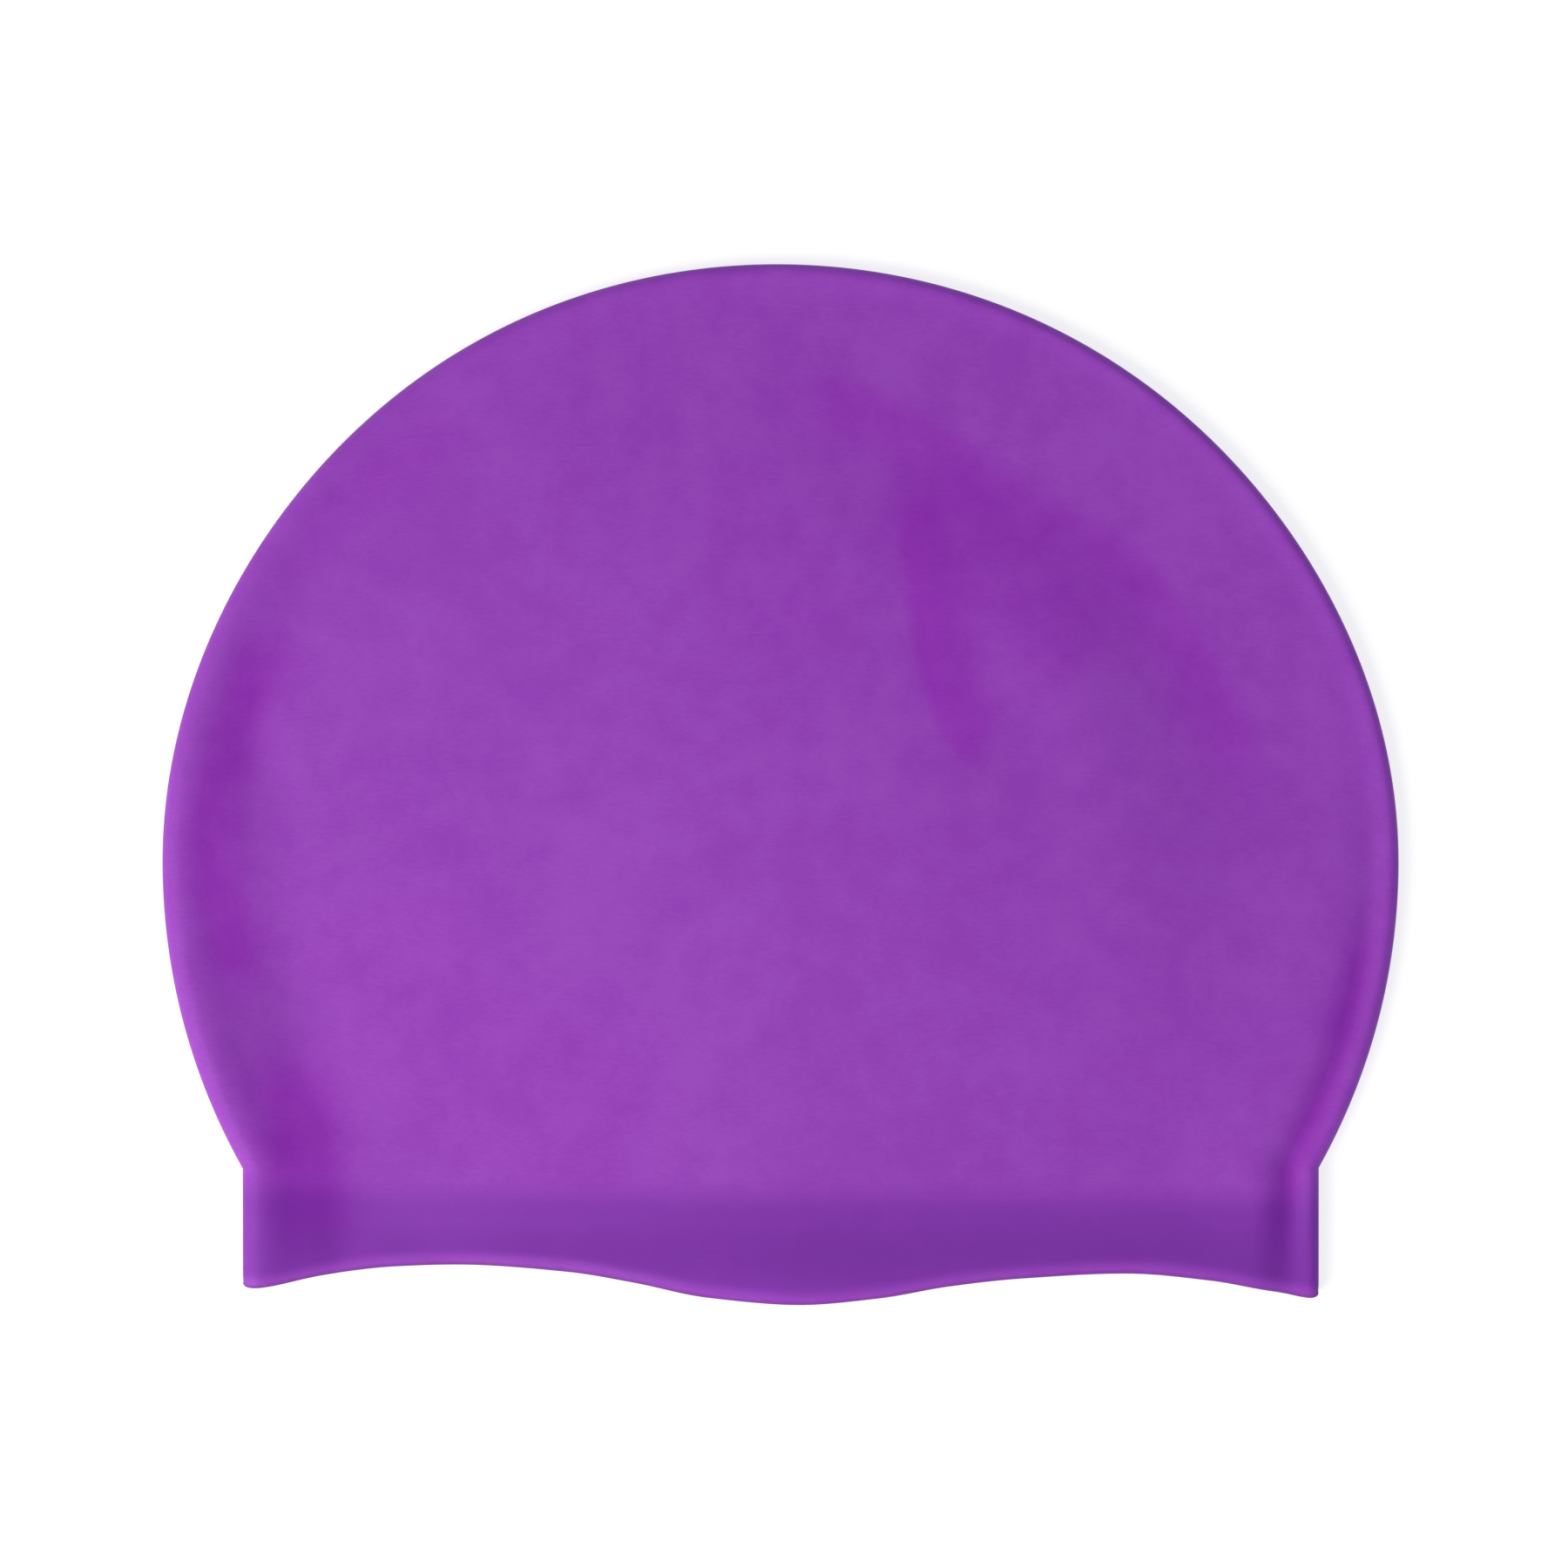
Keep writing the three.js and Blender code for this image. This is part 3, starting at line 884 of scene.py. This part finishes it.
@dataclass
class ShaderTree:
    """A material's node tree, with one method that adds any node."""

    material: bpy.types.Material

    def __post_init__(self) -> None:
        """Empties the material's tree."""
        self.material.use_nodes = True
        self.tree = self.material.node_tree
        self.tree.nodes.clear()

    def node(self, kind: str, settings: Mapping[str, object], **sockets: object) -> bpy.types.Node:
        """Adds one node.

        Args:
            kind: The node's type.
            settings: The node's own settings, which are set first.
            sockets: A value, an output or a Maths value for each input by name, or by number as s0, s1.

        Returns:
            The node.
        """
        made = self.tree.nodes.new(kind)
        for key, value in settings.items():
            setattr(made, key, value)
        for key, value in sockets.items():
            value = value.socket if isinstance(value, Maths) else value
            feed(self.tree, value, made.inputs[socket_key(key)])
        return made

    def value(
        self, kind: str, settings: Mapping[str, object], output: Union[int, str], **sockets: object
    ) -> "Maths":
        """Adds one node, and wraps one of its outputs for use in expressions."""
        return Maths(self, self.node(kind, settings, **sockets).outputs[output])

    def blend(
        self, share: "Maths", low: object, high: object, mode: str = "MIX"
    ) -> bpy.types.NodeSocket:
        """Mixes two colours.

        Args:
            share: How much of the second colour is mixed in.
            low: The first colour, or an output that gives it.
            high: The second colour, or an output that gives it.
            mode: How the second colour acts on the first.

        Returns:
            The output with the mixed colour.
        """
        made = self.tree.nodes.new("ShaderNodeMix")
        made.data_type = "RGBA"
        made.blend_type = mode
        self.tree.links.new(share.socket, made.inputs["Factor"])
        for socket, colour in zip((made.inputs[6], made.inputs[7]), (low, high)):
            feed(self.tree, colour, socket)
        return made.outputs[2]


@dataclass(frozen=True)
class Maths:
    """A value socket that can be used in Python expressions."""

    tree: ShaderTree
    socket: bpy.types.NodeSocket

    def math(self, operation: str, *terms: object) -> "Maths":
        """Adds one Math node.

        Args:
            operation: The node's operation.
            terms: A value, an output or a Maths value for each input in order.

        Returns:
            The node's output, wrapped.
        """
        sockets = {f"s{k}": term for k, term in enumerate(terms)}
        made = self.tree.node("ShaderNodeMath", {"operation": operation}, **sockets)
        return Maths(self.tree, made.outputs[0])

    def __add__(self, other: object) -> "Maths":
        """The sum."""
        return self.math("ADD", self, other)

    def __radd__(self, other: object) -> "Maths":
        """The sum, the other way round."""
        return self.math("ADD", other, self)

    def __sub__(self, other: object) -> "Maths":
        """The difference."""
        return self.math("SUBTRACT", self, other)

    def __rsub__(self, other: object) -> "Maths":
        """The difference, the other way round."""
        return self.math("SUBTRACT", other, self)

    def __mul__(self, other: object) -> "Maths":
        """The product."""
        return self.math("MULTIPLY", self, other)

    def __rmul__(self, other: object) -> "Maths":
        """The product, the other way round."""
        return self.math("MULTIPLY", other, self)

    def clipped(self) -> "Maths":
        """The value kept between 0 and 1."""
        return self.math("MINIMUM", self.math("MAXIMUM", self, 0.0), 1.0)


# Finishes


@dataclass(frozen=True)
class SiliconeFinish:
    """Satin purple silicone rubber: a dye with faint clouds, and a fine matt grain.

    Painted shade darkens the colour along the band, in the patches and along the lip's edge. The depths
    of the noises say how strongly each one shows.
    """

    name: str = "silicone_rubber"
    dye: Colour = (0.294, 0.05, 0.489, 1.0)
    cloud_dye: Colour = (0.266, 0.035, 0.454, 1.0)
    band_shade_colour: Colour = (0.212, 0.025, 0.406, 1.0)
    painted_shade_tint: Colour = (0.97, 0.33, 0.96, 1.0)
    lip_edge_shade_tint: Colour = (0.68, 0.62, 0.66, 1.0)
    lip_edge_shade_run: float = 0.75 * MM
    cloud_size: float = 26 * MM
    mottle_size: float = 7 * MM
    grain_size: float = 0.5 * MM
    cloud_detail: float = 3.0
    mottle_detail: float = 6.0
    grain_detail: float = 2.0
    noise_roughness: float = 0.6
    streak: tuple[float, float, float] = (0.4, 1.0, 1.0)
    roughness: float = 0.68
    grain_height: float = 0.02 * MM
    ior: float = 1.41
    cloud_depth: float = 1.8
    mottle_depth: float = 2.4
    grain_depth: float = 1.2
    band_mottle: float = 0.9
    painted_shade_mottle: float = 0.7
    lip_edge_shade_depth: float = 1.7
    cloud_gloss: float = 0.08
    grain_gloss: float = 0.1

    def noise(self, tree: ShaderTree, place: bpy.types.NodeSocket, size: float, detail: float) -> Maths:
        """One noise of the given size in metres."""
        sockets = {"Vector": place, "Scale": 1 / size, "Detail": detail, "Roughness": self.noise_roughness}
        return tree.value("ShaderNodeTexNoise", {}, "Fac", **sockets)

    def material(self) -> bpy.types.Material:
        """Builds the material.

        Returns:
            The finished material.
        """
        made = bpy.data.materials.new(self.name)
        tree = ShaderTree(made)
        place = tree.node("ShaderNodeTexCoord", {}).outputs["Object"]
        stretched = tree.node("ShaderNodeVectorMath", {"operation": "MULTIPLY"}, s0=place, s1=self.streak)
        clouds = self.noise(tree, place, self.cloud_size, self.cloud_detail)
        mottle = self.noise(tree, place, self.mottle_size, self.mottle_detail)
        grain = self.noise(tree, stretched.outputs[0], self.grain_size, self.grain_detail)
        band = tree.value("ShaderNodeAttribute", {"attribute_name": "band_shade_share"}, "Fac")
        shade_mask = tree.value("ShaderNodeAttribute", {"attribute_name": "painted_shade"}, "Fac")
        wide, middling, fine = clouds - 0.5, mottle - 0.5, grain - 0.5
        mixed = wide * self.cloud_depth + middling * self.mottle_depth + fine * self.grain_depth
        dyed = tree.blend((mixed + 0.5).clipped(), self.dye, self.cloud_dye)
        # Painted shade along the band.
        banded = tree.blend(band - middling * band * self.band_mottle, dyed, self.band_shade_colour)
        # Painted shade in the patches.
        uneven_shade = (shade_mask + middling * shade_mask * self.painted_shade_mottle).clipped()
        shaded_colour = tree.blend(uneven_shade, banded, self.painted_shade_tint, "MULTIPLY")
        above = tree.value("ShaderNodeAttribute", {"attribute_name": "above_lip"}, "Fac")
        # Painted shade along the lip's edge.
        edge = (self.lip_edge_shade_depth - above * (1 / self.lip_edge_shade_run)).clipped()
        colour = tree.blend(edge, shaded_colour, self.lip_edge_shade_tint, "MULTIPLY")
        rough = self.roughness + wide * self.cloud_gloss + fine * self.grain_gloss
        bump = tree.node("ShaderNodeBump", {}, Strength=1.0, Distance=self.grain_height, Height=grain)
        shader = tree.node(
            "ShaderNodeBsdfPrincipled",
            {},
            Base_Color=colour,
            Roughness=rough,
            IOR=self.ior,
            Normal=bump.outputs[0],
        )
        tree.node("ShaderNodeOutputMaterial", {}, Surface=shader.outputs[0])
        return made


@dataclass(frozen=True)
class FloorFinish:
    """A plain white sheet of acrylic that is lit from behind, so that shadows on it are faint."""

    name: str = "white_sheet"
    colour: Colour = (0.35, 0.35, 0.35, 1.0)
    roughness: float = 0.9
    glow: float = 0.74
    light: Colour = (1.0, 1.0, 1.0, 1.0)

    def material(self) -> bpy.types.Material:
        """Builds the material.

        Returns:
            The finished material.
        """
        made = bpy.data.materials.new(self.name)
        tree = ShaderTree(made)
        shader = tree.node(
            "ShaderNodeBsdfPrincipled",
            {},
            Base_Color=self.colour,
            Roughness=self.roughness,
            Emission_Color=self.light,
            Emission_Strength=self.glow,
        )
        tree.node("ShaderNodeOutputMaterial", {}, Surface=shader.outputs[0])
        return made


# The cap and the studio


@dataclass
class SwimCap:
    """The swim cap: one moulded wall that closes at the crown and the folds and is open at the mouth."""

    shape: CapShape = field(default_factory=CapShape)
    finish: SiliconeFinish = field(default_factory=SiliconeFinish)
    name: str = "cap"

    def build(self) -> bpy.types.Object:
        """Makes the cap, in place of the solid that stands for it.

        Returns:
            The cap's object.
        """
        grid = WallGrid(self.shape).build()
        cap = bpy.data.objects.new(self.name, grid.mesh(self.name))
        bpy.context.scene.collection.objects.link(cap)
        shape = self.shape
        sizes = {"Wall Thickness": shape.wall, "Bead Thickness": shape.bead, "Bead Fade": shape.bead_fade}
        wall_tree(self.finish.material()).bake(cap, sizes)
        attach(cap, "root")
        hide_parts("cap_shell")
        return cap


@dataclass(frozen=True)
class Lamp:
    """A large soft lamp that shines at a point.

    turn is its direction seen from above, from +X towards +Y, and lift its angle above the floor, both in
    degrees.
    """

    name: str
    turn: float
    lift: float
    distance: float
    size: float
    power: float
    tint: tuple[float, float, float]

    def build(self, aim: Vector) -> bpy.types.Object:
        """Makes the lamp.

        Args:
            aim: The point that it shines at.

        Returns:
            The lamp's object.
        """
        data = bpy.data.lights.new(self.name, "AREA")
        data.shape = "SQUARE"
        data.size = self.size
        data.energy = self.power
        data.color = self.tint
        lamp = bpy.data.objects.new(self.name, data)
        turn, lift = math.radians(self.turn), math.radians(self.lift)
        away = Vector((math.cos(turn) * math.cos(lift), math.sin(turn) * math.cos(lift), math.sin(lift)))
        lamp.location = aim + away * self.distance
        lamp.rotation_euler = away.to_track_quat("Z", "Y").to_euler()
        bpy.context.scene.collection.objects.link(lamp)
        return lamp


@dataclass
class Studio:
    """The plain white floor, the even white surround, the lamps and the camera."""

    floor_reach: float = 30.0
    surround: float = 0.45
    surround_tint: Colour = (0.88, 0.95, 1.05, 1.0)
    lamps: tuple[Lamp, ...] = (
        Lamp("key_lamp", turn=218, lift=38, distance=1.7, size=1.0, power=30, tint=(1.0, 0.9, 0.82)),
    )
    camera_height: float = 0.683
    camera_centre: Pair = (0.48 * MM, -0.32 * MM)
    lens: float = 85
    sensor: float = 36

    def build_floor(self) -> bpy.types.Object:
        """Makes the floor, whose top is the plane that the cap lies on.

        Returns:
            The floor's object.
        """
        reach = self.floor_reach
        mesh = bpy.data.meshes.new("floor")
        corners = [(-reach, -reach, 0), (reach, -reach, 0), (reach, reach, 0), (-reach, reach, 0)]
        mesh.from_pydata(corners, [], [(0, 1, 2, 3)])
        mesh.materials.append(FloorFinish().material())
        floor = bpy.data.objects.new("floor", mesh)
        bpy.context.scene.collection.objects.link(floor)
        return floor

    def build_surround(self) -> None:
        """Gives the world its even light, which is a little cooler than white."""
        world = bpy.data.worlds.new("studio")
        world.use_nodes = True
        back = world.node_tree.nodes["Background"]
        back.inputs["Color"].default_value = self.surround_tint
        back.inputs["Strength"].default_value = self.surround
        bpy.context.scene.world = world

    def build_camera(self) -> bpy.types.Object:
        """Makes the camera, which looks straight down with the crown at the top of the picture.

        Returns:
            The camera's object.
        """
        data = bpy.data.cameras.new("camera")
        data.lens = self.lens
        data.sensor_width = self.sensor
        camera = bpy.data.objects.new("camera", data)
        camera.location = (*self.camera_centre, self.camera_height)
        bpy.context.scene.collection.objects.link(camera)
        bpy.context.scene.camera = camera
        return camera

    def build(self, aim: Vector) -> None:
        """Makes the whole studio.

        Args:
            aim: The point that the lamps shine at.
        """
        self.build_floor()
        self.build_surround()
        self.build_camera()
        for lamp in self.lamps:
            lamp.build(aim)
        bpy.context.scene.view_settings.view_transform = "Standard"


def main() -> None:
    """Builds the cap and the studio, and reports each piece."""
    logging.basicConfig(level=logging.INFO, format="%(message)s")
    cap = SwimCap().build()
    log.info("%s: %d faces", cap.name, len(cap.data.polygons))
    Studio().build(Vector((0, 0, 0)))
    log.info("studio: floor, surround, lamps and camera")


if __name__ == "__main__":
    main()
